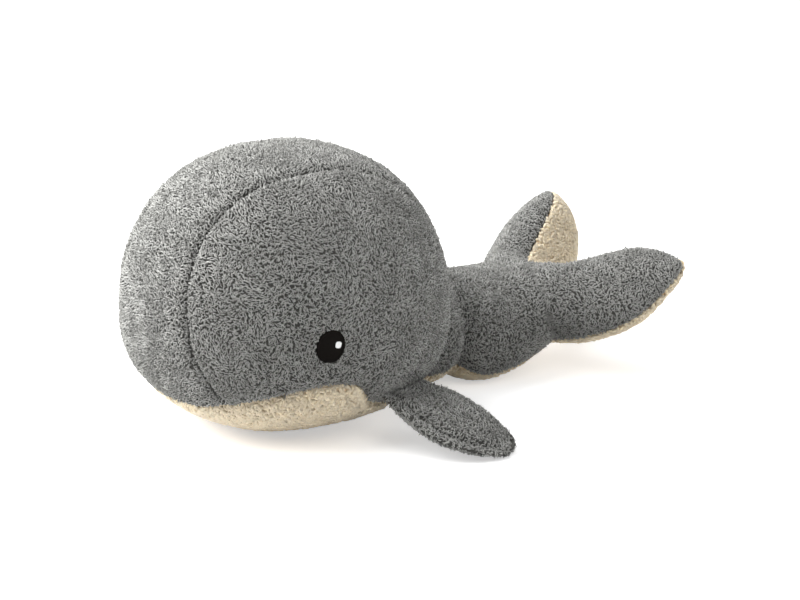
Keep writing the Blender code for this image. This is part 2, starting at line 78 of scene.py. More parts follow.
STALK = (
    (0.0530, 0.0510, 0.0570, 0.0480),
    (0.0800, 0.0500, 0.0600, 0.0465),
    (0.1120, 0.0550, 0.0605, 0.0400),
    (0.1370, 0.0625, 0.0560, 0.0295),
    (0.1530, 0.0700, 0.0310, 0.0180),
)
CLEAR_ANGLE = radians(59)
STRIP_TURN = radians(43)
PITCH = radians(25)
NOTCH = Vector((0, TAIL_BALL_BACK + 0.1710, 0.0750))
FLIPPER_BACK, FLIPPER_UP, FLIPPER_DROP = 0.0560, 0.0440, radians(22)
EYE_FORWARD, EYE_UP, EYE_LEAN = 0.0340, 0.0110, radians(12)
LOWEST_CLOTH = 0.0012  # height of cloth that rests on the floor
FAR_OFF = 9.0  # share that stands for a place with no eye near it

# View of the whale: the camera's turn, rise and distance, and its lens
VIEW_TURN, VIEW_RISE, VIEW_FAR = radians(60), radians(18), 1.7
LENS_MM, SENSOR_MM = 85, 36
SHIFT_PIXELS, PICTURE_PIXELS = (115.3, 10.5), 800


def length_prop(name, description, default):
    return FloatProperty(name=name, description=description, default=default, unit="LENGTH")


def colour_prop(name, description, default):
    return FloatVectorProperty(name=name, description=description, default=default, subtype="COLOR")


def power_prop(name, description, default):
    return FloatProperty(name=name, description=description, default=default, unit="POWER")


class StuffingSettings(bpy.types.PropertyGroup):
    inset: length_prop("Inset", "How far inside its pattern a form is cut before it is filled", 0.0010)
    puff: length_prop("Puff", "Most that the filling pushes the cloth out between two seams", 0.0050)
    pressure: FloatProperty(name="Pressure", description="Push of the filling on the cloth", default=4.0)
    frames: IntProperty(name="Frames", description="Steps that the cloth has to settle", default=20)
    valley: length_prop("Seam valley", "Depth of the valley along a seam", 0.0036)
    valley_reach: length_prop("Valley reach", "Half width of the valley along a seam", 0.0036)
    cell: IntProperty(name="Body cells", description="Cells along one patch of the body's cloth", default=48)


class PileSettings(bpy.types.PropertyGroup):
    terry: colour_prop("Terry", "Colour of the grey loops", (0.435, 0.435, 0.415))
    # Painted shade: a near black grey that stands for the shade between the grey loops and at their roots
    terry_painted_shade: colour_prop("Terry painted shade", "Colour between the grey loops", (0.070, 0.070, 0.065))
    sherpa: colour_prop("Sherpa", "Colour of the cream curls", (0.84, 0.675, 0.450))
    # Painted shade: a darker, warmer cream that stands for the shade between the cream curls and at their
    # roots
    sherpa_painted_shade: colour_prop("Sherpa painted shade", "Colour between the cream curls", (0.80, 0.625, 0.400))
    terry_spacing: length_prop("Terry spacing", "Distance between loops", 0.00165)
    sherpa_spacing: length_prop("Sherpa spacing", "Distance between curls", 0.0021)
    seed: IntProperty(name="Seed", description="Start of the pile's scatter", default=11)


class EyeSettings(bpy.types.PropertyGroup):
    width: length_prop("Width", "Width of an eye", 0.0250)
    height: length_prop("Height", "Height of an eye", 0.0277)
    thread: colour_prop("Thread", "Colour of the eye's thread", (0.0045, 0.0035, 0.0028))
    light: colour_prop("Highlight", "Colour of the highlight's thread", (0.82, 0.82, 0.82))


class StudioSettings(bpy.types.PropertyGroup):
    key: power_prop("Key", "Power of the large soft light", 82.0)
    tail: power_prop("Tail", "Power of the small light on the tail", 1.0)
    side: power_prop("Side", "Power of the soft light opposite", 9.5)
    fill: FloatProperty(name="Fill", description="Strength of the light from all round", default=0.17)


# Numbers along a pattern


def unit_rows(vectors):
    return vectors / np.maximum(np.linalg.norm(vectors, axis=-1, keepdims=True), 1e-12)


def soft_step(values):
    values = np.clip(values, 0.0, 1.0)
    return values * values * (3.0 - 2.0 * values)


def drift(points, scale, offset=0.0):
    """A smooth vector that wanders over the cloth, one for each point."""
    shift = Vector((offset, offset * 0.7, -offset))
    return np.array([noise.noise_vector(Vector(p) / scale + shift) for p in points])


def ball_grid(cells):
    """Directions and faces of a ball drawn as six square patches."""
    steps = np.tan(np.linspace(-pi / 4, pi / 4, cells + 1))
    a, b = np.meshgrid(steps, steps, indexing="ij")
    points, faces = [], []
    for axis in range(3):
        for side in (-1, 1):
            patch = np.empty((cells + 1, cells + 1, 3))
            patch[..., axis] = side
            patch[..., (axis + 1) % 3] = a
            patch[..., (axis + 2) % 3] = b * side
            index = np.arange((cells + 1) ** 2).reshape(cells + 1, cells + 1)
            index = index + len(points) * (cells + 1) ** 2
            points.append(patch.reshape(-1, 3))
            corners = (index[:-1, :-1], index[1:, :-1], index[1:, 1:], index[:-1, 1:])
            faces.append(np.stack(corners, -1).reshape(-1, 4))
    points = unit_rows(np.concatenate(points))
    key = np.round(points * 1e5).astype(int)
    _, first, place = np.unique(key, axis=0, return_index=True, return_inverse=True)
    return points[first], place.reshape(-1)[np.concatenate(faces)]


def pillow_grid(rows, columns):
    """Row and column of each point of two sheets that share their four edges, and the faces between."""
    top = np.arange(rows * columns).reshape(rows, columns)
    under = top.copy()
    under[1:-1, 1:-1] = rows * columns + np.arange((rows - 2) * (columns - 2)).reshape(rows - 2, columns - 2)
    i, j = np.meshgrid(np.arange(rows), np.arange(columns), indexing="ij")
    row = np.concatenate((i.ravel(), i[1:-1, 1:-1].ravel()))
    column = np.concatenate((j.ravel(), j[1:-1, 1:-1].ravel()))
    side = np.ones(len(row))
    side[rows * columns:] = -1.0
    on_edge = (i == 0) | (i == rows - 1) | (j == 0) | (j == columns - 1)
    side[:rows * columns][on_edge.ravel()] = 0.0
    above = np.stack((top[:-1, :-1], top[1:, :-1], top[1:, 1:], top[:-1, 1:]), -1)
    below = np.stack((under[:-1, :-1], under[:-1, 1:], under[1:, 1:], under[1:, :-1]), -1)
    return row, column, side, np.concatenate((above.reshape(-1, 4), below.reshape(-1, 4)))


def point_normals(points, quads):
    corners = points[quads]
    facing = np.cross(corners[:, 2] - corners[:, 0], corners[:, 3] - corners[:, 1])
    normals = np.zeros_like(points)
    for k in range(4):
        np.add.at(normals, quads[:, k], facing)
    return unit_rows(normals)


def subdivided(points, quads, extras):
    """Catmull-Clark step of a closed cloth of four-sided cells; the extra values go straight."""
    pairs = np.sort(np.concatenate([quads[:, [k, (k + 1) % 4]] for k in range(4)]), axis=1)
    edges, edge_of = np.unique(pairs, axis=0, return_inverse=True)
    edge_of = edge_of.reshape(-1)
    count, cells = len(points), len(quads)
    centre = points[quads].mean(axis=1)
    near = np.zeros((len(edges), 3))
    np.add.at(near, edge_of, centre[np.tile(np.arange(cells), 4)])
    middle = points[edges].mean(axis=1)
    on_edge = middle / 2 + near / 4
    valence = np.bincount(edges.ravel(), minlength=count)[:, None].astype(float)
    faces_sum, middles_sum = np.zeros((count, 3)), np.zeros((count, 3))
    for k in range(4):
        np.add.at(faces_sum, quads[:, k], centre)
    for k in range(2):
        np.add.at(middles_sum, edges[:, k], middle)
    at_point = (faces_sum / valence + 2 * middles_sum / valence + (valence - 3) * points) / valence
    new_points = np.concatenate((at_point, on_edge, centre))
    new_extras = {
        name: np.concatenate((value, value[edges].mean(axis=1), value[quads].mean(axis=1)))
        for name, value in extras.items()
    }
    e = count + edge_of.reshape(4, cells)
    f = count + len(edges) + np.arange(cells)
    new_quads = [np.stack((quads[:, k], e[k], f, e[(k + 3) % 4]), -1) for k in range(4)]
    return new_points, np.concatenate(new_quads), new_extras


# Body pattern


def lean_to_seam(u):
    """Slides directions so that the flat cut at BELLY_LEVEL becomes the arched belly seam."""
    near = np.maximum(0.0, 1.0 - ((u[:, 2] + BELLY_LEVEL) / BELLY_LEVEL) ** 2) ** 2
    run = (u[:, 1] + 0.14) / 0.86
    level = -0.31 - np.where(run < 0, 0.39, 0.30) * run * run
    level -= 0.21 * (soft_step((u[:, 1] + 0.05) / 0.18) - soft_step((u[:, 1] - 0.55) / 0.20))
    height = u[:, 2] + near * (level + BELLY_LEVEL)
    spread = np.sqrt((1 - height**2) / np.maximum(1 - u[:, 2] ** 2, 1e-9))
    spread = np.where(near > 0, spread, 1.0)
    return np.stack((u[:, 0] * spread, u[:, 1] * spread, height), -1)


def lean_to_gusset(u):
    """Slides directions sideways so that the gusset narrows over the brow and widens at its ends."""
    turn = np.arctan2(u[:, 2], -u[:, 1])
    turn = np.where(turn < GUSSET_TURNS[0], turn + 2 * pi, turn)
    k = np.clip(np.searchsorted(GUSSET_TURNS, turn, side="right") - 1, 0, len(GUSSET_TURNS) - 2)
    step = (1 - np.cos(pi * (turn - GUSSET_TURNS[k]) / (GUSSET_TURNS[k + 1] - GUSSET_TURNS[k]))) / 2
    share = GUSSET_WIDTHS[k] * (1 - step) + GUSSET_WIDTHS[k + 1] * step
    across = np.abs(u[:, 0])
    outer = 1 - (1 - across) * (1 - GUSSET_SHARE * share) / (1 - GUSSET_SHARE)
    moved = np.where(across < GUSSET_SHARE, across * share, outer)
    spread = np.sqrt(np.maximum(1 - moved**2, 0) / np.maximum(1 - across**2, 1e-9))
    spread = np.where(across > 0.999, 1.0, spread)
    return np.stack((np.sign(u[:, 0]) * moved, u[:, 1] * spread, u[:, 2] * spread), -1)


def body_skin(directions, inset=0.0, floor_inset=0.0):
    u = lean_to_gusset(lean_to_seam(directions))
    u = u / (np.abs(u) ** ROUNDNESS).sum(axis=1, keepdims=True) ** (1 / ROUNDNESS)
    reach = np.where(u[:, 1] < 0, FRONT, BACK) - inset
    rise = np.where(u[:, 2] > 0, RISE - inset, DROP - floor_inset)
    points = np.stack(((HALF_WIDTH - inset) * u[:, 0], reach * u[:, 1], DROP + rise * u[:, 2]), -1)
    return points + np.array(MIDDLE)


def seam_lines():
    """Points along the gusset's two seams and along the belly's seam."""
    turns = np.radians(np.arange(-60, 240, 0.2))
    width = (1 - GUSSET_SHARE**2) ** 0.5
    gusset = []
    for side in (-1, 1):
        aside = np.full_like(turns, side * GUSSET_SHARE)
        line = np.stack((aside, -np.cos(turns) * width, np.sin(turns) * width), -1)
        gusset.append(line[line[:, 2] > -BELLY_LEVEL])
    round_it = np.radians(np.arange(0, 360, 0.2))
    width = (1 - BELLY_LEVEL**2) ** 0.5
    level = np.full_like(round_it, -BELLY_LEVEL)
    belly = np.stack((np.cos(round_it) * width, np.sin(round_it) * width, level), -1)
    return body_skin(np.concatenate(gusset)), body_skin(belly)


def nearest_seam(facts):
    """Distance to the nearer seam of the body, exact where a signed distance changes its sign."""
    cream_line = facts["cream_line"]
    return np.where(cream_line > 0, np.minimum(np.abs(facts["gusset_line"]), cream_line), -cream_line)


def distance_to(points, line):
    tree = kdtree.KDTree(len(line))
    for k, place in enumerate(line):
        tree.insert(place, k)
    tree.balance()
    return np.array([tree.find(p)[2] for p in points])


def along_rim(points, quads, on_rim):
    """Points close together along the edges whose two ends both lie on the rim."""
    edges = np.concatenate([quads[:, [k, (k + 1) % 4]] for k in range(4)])
    edges = edges[on_rim[edges].all(axis=1)]
    shares = np.linspace(0, 1, 6)[:, None, None]
    return (points[edges[:, 0]] * (1 - shares) + points[edges[:, 1]] * shares).reshape(-1, 3)


def side_of_body(back, up):
    reach = FRONT if back < 0 else BACK
    rise = RISE if up > 0 else DROP
    left = 1 - abs(back / reach) ** ROUNDNESS - abs(up / rise) ** ROUNDNESS
    return HALF_WIDTH * left ** (1 / ROUNDNESS)


# Limb pattern


def limb_frame(hinge_at, outward, along, lift):
    """Carries a leaf from its own axes to its place, turned up about its hinge line by lift."""
    outward = outward.normalized()
    along = (along - outward * along.dot(outward)).normalized()
    axes = Matrix((outward, along, outward.cross(along))).transposed().to_4x4()
    return Matrix.Translation(hinge_at + MIDDLE) @ axes @ Matrix.Rotation(-lift, 4, "Y")


def fluke_frame(side, splay, roll, lift):
    rearward = Vector((0, cos(PITCH), sin(PITCH)))
    upward = Vector((0, -sin(PITCH), cos(PITCH)))
    across = Vector((side, 0, 0))
    line = across * cos(splay) - rearward * sin(splay)
    outward = across * sin(splay) + rearward * cos(splay)
    at = NOTCH + line * (0.0195 + 0.0300)
    line = line * cos(roll) - upward * sin(roll)
    return limb_frame(at, outward, line * -side, lift)


def flipper_frame(side):
    half, up = 0.0270, FLIPPER_UP - DROP
    front, rear = side_of_body(FLIPPER_BACK - half, up), side_of_body(FLIPPER_BACK + half, up)
    at = Vector((side * side_of_body(FLIPPER_BACK, up), FLIPPER_BACK, FLIPPER_UP))
    along = Vector((side * (rear - front), 2 * half, 0)).normalized()
    outward = Vector((side * along.y, -side * along.x, 0))
    outward = outward * cos(FLIPPER_DROP) - Vector((0, 0, sin(FLIPPER_DROP)))
    return limb_frame(at, outward, along * side, 0.0)


def limb_points(leaf, rows, columns, sunk, inset):
    """Points of a stuffed leaf in its own axes, with each one's distance from the rim seam."""
    row, column, side, quads = pillow_grid(rows, columns)
    runs = np.linspace(-1, 1, rows)
    runs = np.sin(runs * pi / 2 * 0.92) / np.sin(pi / 2 * 0.92)
    runs = (runs + 1) / 2 * (0.992 + sunk) - sunk
    acrosses = np.sin(np.linspace(-1, 1, columns) * pi / 2)
    run, across = runs[row], acrosses[column]
    out = np.maximum(run, 0)
    swell = np.where(across * leaf["tip_shift"] > 0, leaf["swells"][1], leaf["swells"][0])
    half_width = leaf["root_width"] / 2 + swell * np.sin(pi * out**1.3)
    half_width = half_width * (1 - out ** leaf["blunt"]) ** 0.56
    half_width = np.maximum(half_width - inset * 0.4, 0.003)
    root = np.clip(-run / sunk, 0, 1)
    half_width = half_width * (1 - 0.25 * root**2)
    height = leaf["root_radius"] * (1 + leaf["fatten"] * np.sin(pi * out**0.85)) * (1 - out**2.8) ** 0.5
    height = np.maximum(height - inset, 0.0012) * np.sqrt(np.clip(1 - root**2, 0, 1))
    square = 5.0 - 2.8 * np.minimum(1.0, out * 2.5)
    height = height * np.clip(1 - np.abs(across) ** square, 0, 1) ** 0.5
    flare = leaf["flare"] * np.exp(-((run / 0.34) ** 2)) * np.clip(1 - across**2, 0, 1)
    height = np.where(side < 0, height * leaf["under"], height + flare)
    height = np.where(row == rows - 1, 0.0, height)
    x = run * leaf["length"]
    y = leaf["tip_shift"] * out**1.5 + across * half_width
    rim = np.minimum((1 - np.abs(across)) * half_width * 1.3, (1 - run) * leaf["length"])
    return np.stack((x, y, side * height), -1), quads, side, np.where(side == 0, 0.0, rim), run, across


def placed(points, quads, place):
    """Points moved to their place, with the faces turned to look outward."""
    matrix = np.array(place)
    points = points @ matrix[:3, :3].T + matrix[:3, 3]
    corners = points[quads]
    facing = np.cross(corners[:, 2] - corners[:, 0], corners[:, 3] - corners[:, 1])
    outward = (facing * (corners.mean(axis=1) - points.mean(axis=0))).sum()
    return points, quads if outward > 0 else quads[:, ::-1]


def sewn_leaf(cloth, leaf, place, cells, sunk, inset):
    """Cuts, places and fills a leaf, and finds how far each of its points is from the rim seam."""
    points, quads, faces, rim, run, across = limb_points(leaf, *cells, sunk, inset)
    points, quads = placed(points, quads, place)
    held = np.maximum(np.exp(-((rim / 0.003) ** 2)), soft_step((0.02 - run) / 0.10))
    points = inflated(cloth, points, quads, held)
    rim = distance_to(points, along_rim(points, quads, faces == 0))
    return points, quads, faces, rim, run, across


def across_hinge(joint, place, before, after):
    """Two points on either side of a leaf's hinge."""
    hinge = Vector(HINGES[joint]["pos_m"])
    out = (place.to_3x3() @ Vector((1, 0, 0))).normalized()
    return hinge - out * before, hinge + out * after


# Stalk pattern


def between(a, b, c, d, share):
    bend = 2 * b + (c - a) * share
    bend += (2 * a - 5 * b + 4 * c - d) * share**2
    bend += (3 * b - a - 3 * c + d) * share**3
    return bend / 2


def stalk_rings(steps):
    radius, height = BALL
    rings = []
    for i in range(1, 9):
        turn = i * (pi - CLEAR_ANGLE) / 8
        rings.append((-radius * cos(turn), height, radius * sin(turn), radius * sin(turn)))
    stations = rings[-1:] + list(STALK)
    last = len(stations) - 1
    for i in range(last):
        four = [stations[min(max(k, 0), last)] for k in (i - 1, i, i + 1, i + 2)]
        for step in range(1, steps + 1):
            rings.append(tuple(between(*values, step / steps) for values in zip(*four)))
    return np.array(rings)


# Cloth


def inflated(name, points, quads, held):
    """Fills a form: the cloth swells under pressure between the points that its seams hold."""
    settings = bpy.context.scene.whale_stuffing
    mesh = bpy.data.meshes.new(name)
    mesh.from_pydata(points.tolist(), [], quads.tolist())
    form = bpy.data.objects.new(name, mesh)
    bpy.context.scene.collection.objects.link(form)
    group = form.vertex_groups.new(name="held")
    for k in np.nonzero(held > 0.02)[0]:
        group.add([int(k)], float(held[k]), "REPLACE")
    cloth = form.modifiers.new("filling", "CLOTH")
    cloth.settings.vertex_group_mass = "held"
    cloth.settings.use_pressure = True
    cloth.settings.uniform_pressure_force = settings.pressure
    cloth.settings.effector_weights.gravity = 0.0
    cloth.point_cache.frame_end = settings.frames
    for step in range(1, settings.frames + 1):
        bpy.context.scene.frame_set(step)
    swollen = form.evaluated_get(bpy.context.evaluated_depsgraph_get()).data
    moved = np.empty(len(points) * 3)
    swollen.vertices.foreach_get("co", moved)
    moved = moved.reshape(-1, 3) - points
    bpy.data.objects.remove(form, do_unlink=True)
    bpy.context.scene.frame_set(1)
    far = np.linalg.norm(moved, axis=1, keepdims=True)
    kept = settings.puff * np.tanh(far / settings.puff) / np.maximum(far, 1e-9)
    return points + moved * np.minimum(1.0, kept)


def with_valleys(points, quads, seam, settings):
    """Draws the cloth in along its seams, gathered a little unevenly, and gives it soft lumps."""
    normals = point_normals(points, quads)
    uneven = 1.0 + 0.55 * drift(points, 0.007, 3.0)[:, 0] + 0.35 * drift(points, 0.018, 5.0)[:, 1]
    depth = settings.valley * np.exp(-((seam / settings.valley_reach) ** 2)) * uneven
    lumps = 0.0011 * drift(points, 0.045, 8.0)[:, 0] + 0.0005 * drift(points, 0.016, 2.0)[:, 2]
    return points + normals * (lumps - depth)[:, None]


def plain_facts(cream_line, seam):
    """What the pile needs to know about a form that has neither a gusset nor an eye."""
    away = np.ones(len(seam))
    return {"cream_line": cream_line, "gusset_line": away, "seam": seam, "eye": away * FAR_OFF}


def new_form(name, points, quads, facts, materials, picks):
    """A stuffed form as a mesh whose points keep what the pile needs to know about the seams."""
    mesh = mesh_of(name, points, quads)
    for fact, values in facts.items():
        keep_values(mesh, fact, values)
    for material in materials:
        mesh.materials.append(material)
    mesh.polygons.foreach_set("material_index", picks.astype(np.int32))
    form = bpy.data.objects.new(name, mesh)
    bpy.context.scene.collection.objects.link(form)
    return form


def keep_values(mesh, name, values):
    """Stores one number for each point of a mesh."""
    mesh.attributes.new(name, "FLOAT", "POINT").data.foreach_set("value", values.astype(np.float32).ravel())


def mesh_of(name, points, quads):
    mesh = bpy.data.meshes.new(name)
    mesh.vertices.add(len(points))
    mesh.vertices.foreach_set("co", points.astype(np.float32).ravel())
    mesh.loops.add(len(quads) * 4)
    mesh.loops.foreach_set("vertex_index", quads.astype(np.int32).ravel())
    mesh.polygons.add(len(quads))
    mesh.polygons.foreach_set("loop_start", np.arange(0, len(quads) * 4, 4, dtype=np.int32))
    mesh.update(calc_edges=True)
    mesh.shade_smooth()
    return mesh


def on_floor(points, lowest):
    points[:, 2] = np.maximum(points[:, 2], lowest)
    return points


# Finishes


def new_material(name, roughness, sheen=0.0, specular=0.3):
    material = bpy.data.materials.new(name)
    material.use_nodes = True
    shader = material.node_tree.nodes["Principled BSDF"]
    shader.inputs["Roughness"].default_value = roughness
    shader.inputs["Specular IOR Level"].default_value = specular
    shader.inputs["Sheen Weight"].default_value = sheen
    shader.inputs["Sheen Roughness"].default_value = 0.45
    return material, material.node_tree.nodes, material.node_tree.links, shader


def node(nodes, kind, **values):
    made = nodes.new(kind)
    for name, value in values.items():
        setattr(made, name, value)
    return made


def noise_at(nodes, links, scale, detail, rough=0.6):
    place = nodes.new("ShaderNodeTexCoord")
    grain = nodes.new("ShaderNodeTexNoise")
    grain.inputs["Scale"].default_value = scale
    grain.inputs["Detail"].default_value = detail
    grain.inputs["Roughness"].default_value = rough
    links.new(place.outputs["Object"], grain.inputs["Vector"])
    return grain.outputs["Fac"]


def ranged(nodes, links, value, low, high, old_low=0.0, old_high=1.0):
    change = nodes.new("ShaderNodeMapRange")
    for name, number in (("From Min", old_low), ("From Max", old_high), ("To Min", low), ("To Max", high)):
        change.inputs[name].default_value = number
    links.new(value, change.inputs["Value"])
    return change.outputs["Result"]


def scaled_colour(nodes, links, colour, value):
    mix = node(nodes, "ShaderNodeMix", data_type="RGBA", blend_type="MULTIPLY")
    mix.inputs["Factor"].default_value = 1.0
    links.new(colour, mix.inputs["A"])
    links.new(value, mix.inputs["B"])
    return mix.outputs["Result"]


def bumped(nodes, links, shader, value, strength, distance):
    bump = nodes.new("ShaderNodeBump")
    bump.inputs["Strength"].default_value = strength
    bump.inputs["Distance"].default_value = distance
    links.new(value, bump.inputs["Height"])
    links.new(bump.outputs["Normal"], shader.inputs["Normal"])


def pile_material(name, tip, painted_root_shade, sheen, glow=0.0):
    """Yarn with painted shade at its root that gives way to its own colour at its top, each loop a shade of
    its own.
    """
    material, nodes, links, shader = new_material(name, 0.92, sheen, 0.15)
    shader.inputs["Subsurface Weight"].default_value = glow
    shader.inputs["Subsurface Radius"].default_value = (1.0, 0.9, 0.75)
    shader.inputs["Subsurface Scale"].default_value = 0.006
    lift = node(nodes, "ShaderNodeAttribute", attribute_name="lift")
    shade = node(nodes, "ShaderNodeAttribute", attribute_name="shade")
    # Painted shade: the ramp runs from the painted root shade low on the yarn to the yarn's own colour at
    # its top
    ramp = nodes.new("ShaderNodeValToRGB")
    ramp.color_ramp.elements[0].color = (*painted_root_shade, 1)
    ramp.color_ramp.elements[0].position = 0.15
    ramp.color_ramp.elements[1].color = (*tip, 1)
    ramp.color_ramp.elements[1].position = 0.95
    links.new(lift.outputs["Fac"], ramp.inputs["Fac"])
    cloudy = ranged(nodes, links, noise_at(nodes, links, 28.0, 3.0), 0.92, 1.06, 0.3, 0.7)
    fibre = ranged(nodes, links, noise_at(nodes, links, 2600.0, 2.0), 0.85, 1.08, 0.3, 0.7)
    colour = scaled_colour(nodes, links, ramp.outputs["Color"], shade.outputs["Fac"])
    colour = scaled_colour(nodes, links, colour, cloudy)
    colour = scaled_colour(nodes, links, colour, fibre)
    links.new(colour, shader.inputs["Base Color"])
    bumped(nodes, links, shader, noise_at(nodes, links, 3200.0, 2.0), 0.5, 0.0002)
    return material


def ground_material(name, colour):
    """Knitted backing that shows between the loops, coloured with the painted shade that falls there."""
    material, nodes, links, shader = new_material(name, 0.95, 0.1, 0.1)
    base = nodes.new("ShaderNodeRGB")
    base.outputs[0].default_value = (*colour, 1)
    knit = ranged(nodes, links, noise_at(nodes, links, 900.0, 3.0), 0.6, 1.4, 0.3, 0.7)
    links.new(scaled_colour(nodes, links, base.outputs[0], knit), shader.inputs["Base Color"])
    bumped(nodes, links, shader, noise_at(nodes, links, 1100.0, 3.0), 0.8, 0.0006)
    return material


def thread_material(name, colour, gloss):
    """Satin stitch: fine parallel threads with a silky light along them, their colour darker in the grooves
    as painted shade and lighter on the crests as painted highlight.
    """
    material, nodes, links, shader = new_material(name, gloss, 0.0, 0.04)
    place = nodes.new("ShaderNodeTexCoord")
    wave = node(nodes, "ShaderNodeTexWave", wave_type="BANDS", bands_direction="Z", wave_profile="SIN")
    wave.inputs["Scale"].default_value = 420.0
    wave.inputs["Distortion"].default_value = 0.6
    wave.inputs["Detail"].default_value = 2.0
    links.new(place.outputs["Object"], wave.inputs["Vector"])
    base = nodes.new("ShaderNodeRGB")
    base.outputs[0].default_value = (*colour, 1)
    # Painted shade and highlight: the thread's colour is darker in the grooves and lighter on the crests of
    # the same bands that the bump follows
    painted_groove_light = ranged(nodes, links, wave.outputs["Fac"], 0.7, 1.35)
    links.new(scaled_colour(nodes, links, base.outputs[0], painted_groove_light), shader.inputs["Base Color"])
    bumped(nodes, links, shader, wave.outputs["Fac"], 0.6, 0.00025)
    return material


# Pile


def form_data(form):
    mesh = form.data
    points = np.empty(len(mesh.vertices) * 3, np.float32)
    mesh.vertices.foreach_get("co", points)
    quads = np.empty(len(mesh.polygons) * 4, np.int32)
    mesh.loops.foreach_get("vertex_index", quads)
    facts = {}
    for name in ("cream_line", "gusset_line", "seam", "eye"):
        facts[name] = np.empty(len(mesh.vertices), np.float32)
        mesh.attributes[name].data.foreach_get("value", facts[name])
    return points.reshape(-1, 3).astype(float), quads.reshape(-1, 4), facts


def roots_on(form, spacing, rng):
    """Places, facings and seam facts for one loop in every patch of cloth as wide as the spacing."""
    points, quads, facts = form_data(form)
    normals = point_normals(points, quads)
    corners = points[quads]
    crossed = np.cross(corners[:, 2] - corners[:, 0], corners[:, 3] - corners[:, 1])
    area = np.linalg.norm(crossed, axis=1) / 2
    count = np.floor(area / spacing**2 + rng.random(len(quads))).astype(int)
    cell = np.repeat(np.arange(len(quads)), count)
    u, v = rng.random((2, len(cell), 1))
    weights = ((1 - u) * (1 - v), u * (1 - v), u * v, (1 - u) * v)

    def spread(values):
        return sum(w * values[quads[cell, k]].reshape(len(cell), -1) for k, w in enumerate(weights))

    found = {name: spread(values).ravel() for name, values in facts.items()}
    if form.name == "body_form":
        found["seam"] = nearest_seam(found)
    return spread(points), unit_rows(spread(normals)), found


def flow_over(roots, normals, rng, wide, fine, loose):
    """The way that each loop lies: a lazy swirl over the cloth with some disorder."""
    way = drift(roots, wide, 1.0) + fine * drift(roots, wide * 0.36, 4.0)
    way += loose * rng.normal(size=way.shape)
    way += np.array((0.0, 0.10, -0.16))
    way -= normals * (way * normals).sum(axis=1, keepdims=True)
    return unit_rows(way)


def yarn_mesh(name, paths, radii, sides, shade, lifts):
    """Short lengths of yarn, each a thin tube along its own path."""
    count, stations = paths.shape[:2]
    ahead = np.gradient(paths, axis=1)
    ahead = unit_rows(ahead)
    chord = unit_rows(paths[:, -1] - paths[:, 0] + 1e-9)
    hump = paths.mean(axis=1) - (paths[:, 0] + paths[:, -1]) / 2
    aside = unit_rows(np.cross(chord, hump) + 1e-12)[:, None, :]
    up = unit_rows(np.cross(ahead, np.broadcast_to(aside, ahead.shape)))
    aside = unit_rows(np.cross(up, ahead))
    turns = 2 * pi * np.arange(sides) / sides
    ring = up[:, :, None, :] * np.cos(turns)[:, None] + aside[:, :, None, :] * np.sin(turns)[:, None]
    points = paths[:, :, None, :] + ring * radii[:, :, None, None]
    index = np.arange(count * stations * sides).reshape(count, stations, sides)
    low, high = index[:, :-1], index[:, 1:]
    quads = np.stack((low, np.roll(low, -1, axis=2), np.roll(high, -1, axis=2), high), -1).reshape(-1, 4)
    mesh = mesh_of(name, points.reshape(-1, 3), quads)
    # The lift sets how much of the painted root shade each part of the yarn takes
    keep_values(mesh, "lift", np.broadcast_to(lifts[:, :, None], index.shape))
    keep_values(mesh, "shade", np.broadcast_to(shade[:, None, None], index.shape))
    piece = bpy.data.objects.new(name, mesh)
    bpy.context.scene.collection.objects.link(piece)
    return piece


# Sizes of a loop and a curl: the least, and how much chance may add
LOOP_LENGTH, LOOP_HEIGHT, LOOP_RADIUS = (0.0024, 0.0015), (0.0011, 0.0016), (0.00036, 0.00009)
STRAY_SHARE, STRAY_RISE = 0.05, 1.5
CURL_SIZE, CURL_RADIUS = (0.0016, 0.0008), (0.00140, 0.00035)


def terry_loops(name, roots, normals, found, material, rng):
    """Short arched loops of grey yarn that lie over one another."""
    count = len(roots)
    flow = flow_over(roots, normals, rng, wide=0.022, fine=0.7, loose=0.30)
    aside = np.cross(normals, flow)
    near = soft_step(found["seam"] / 0.0025)[:, None]
    stray = np.where(rng.random((count, 1)) < STRAY_SHARE, STRAY_RISE, 1.0)
    reach = (LOOP_LENGTH[0] + LOOP_LENGTH[1] * rng.random((count, 1))) * (0.70 + 0.30 * near)
    height = LOOP_HEIGHT[0] + LOOP_HEIGHT[1] * rng.random((count, 1)) ** 2
    height = height * (0.60 + 0.40 * near) * stray
    curve = 0.0004 * rng.normal(size=(count, 1))
    runs, rises, bends = (-0.05, 0.40, 1.05), (-0.35, 1.0, 0.25), (0.0, 1.0, 0.0)
    paths = np.stack(
        [roots + flow * reach * (run - 0.45) + normals * height * rise + aside * curve * bend
         for run, rise, bend in zip(runs, rises, bends)], axis=1,
    )
    radii = (LOOP_RADIUS[0] + LOOP_RADIUS[1] * rng.random((count, 1))) * np.array((0.8, 1.15, 0.75))
    shade = np.clip(1.0 + 0.17 * rng.normal(size=count), 0.55, 1.12)
    # Painted shade: each loop is darker low down, and loops near a seam are darker all over, as painted
    # shade in the seam's valley
    lifts = np.broadcast_to(np.array((0.0, 0.8, 1.0)), (count, 3)) * (0.55 + 0.45 * near)
    paths[..., 2] = np.maximum(paths[..., 2], 0.0007)
    piece = yarn_mesh(name, paths, radii, 3, shade, lifts)
    piece.data.materials.append(material)
    return piece


